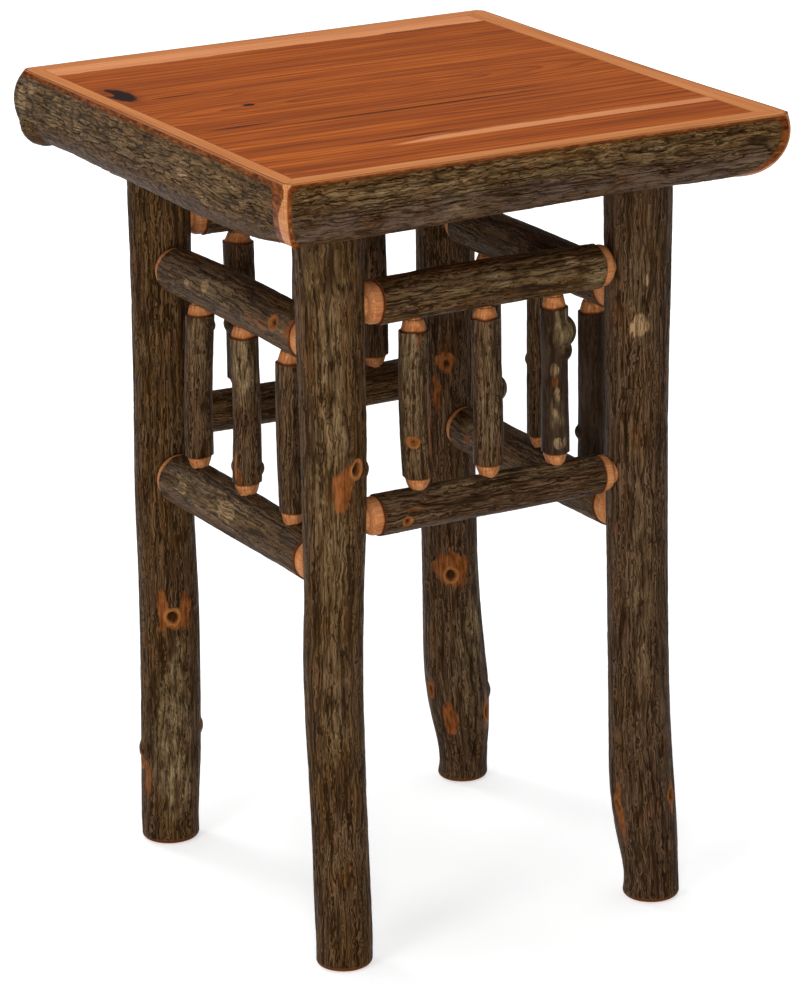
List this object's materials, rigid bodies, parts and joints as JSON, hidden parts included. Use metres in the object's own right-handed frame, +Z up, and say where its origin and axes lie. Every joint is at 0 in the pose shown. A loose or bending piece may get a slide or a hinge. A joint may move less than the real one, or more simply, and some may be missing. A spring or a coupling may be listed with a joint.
{
  "type": "rustic log side table",
  "caption": "Side table of bark-on hickory poles: crooked round legs, rails with peeled tenon ends, short spindles between them, and a plank top framed by half-round bark logs.",
  "frame": {"origin": "on the floor, midway between the sawn edges of the top in both directions", "axes": "+X along the front edge to the right, +Y from the front to the back, +Z up"},
  "size_m": [0.4717, 0.5227, 0.705],
  "materials": {
    "bark_wood": "dark grey-brown bark under a satin clear coat, peeled orange-tan at the ends and knots",
    "edge_wood": "dark bark outside, sawn and lacquered light tan on top and at the peeled corners",
    "board_wood": "planed orange-brown hickory under a satin lacquer",
    "cleat_wood": "plain sawn light hardwood",
    "screw_steel": "zinc-plated steel"
  },
  "bodies": {
    "root": {"leg_front_left": "bark_wood", "leg_front_right": "bark_wood", "leg_back_left": "bark_wood", "leg_back_right": "bark_wood", "rail_front_upper": "bark_wood", "rail_front_lower": "bark_wood", "rail_back_upper": "bark_wood", "rail_back_lower": "bark_wood", "rail_left_upper": "bark_wood", "rail_left_lower": "bark_wood", "rail_right_upper": "bark_wood", "rail_right_lower": "bark_wood", "spindle_front_1": "bark_wood", "spindle_front_2": "bark_wood", "spindle_front_3": "bark_wood", "spindle_back_1": "bark_wood", "spindle_back_2": "bark_wood", "spindle_back_3": "bark_wood", "spindle_left_1": "bark_wood", "spindle_left_2": "bark_wood", "spindle_left_3": "bark_wood", "spindle_right_1": "bark_wood", "spindle_right_2": "bark_wood", "spindle_right_3": "bark_wood", "edge_log_front": "edge_wood", "edge_log_back": "edge_wood", "edge_log_left": "edge_wood", "edge_log_right": "edge_wood", "top_board_1": "board_wood", "top_board_2": "board_wood", "top_board_3": "board_wood", "top_board_4": "board_wood", "cleat_left": "cleat_wood", "cleat_right": "cleat_wood", "cleat_screws": "screw_steel", "edge_log_screws": "screw_steel"}
  },
  "joints": []
}
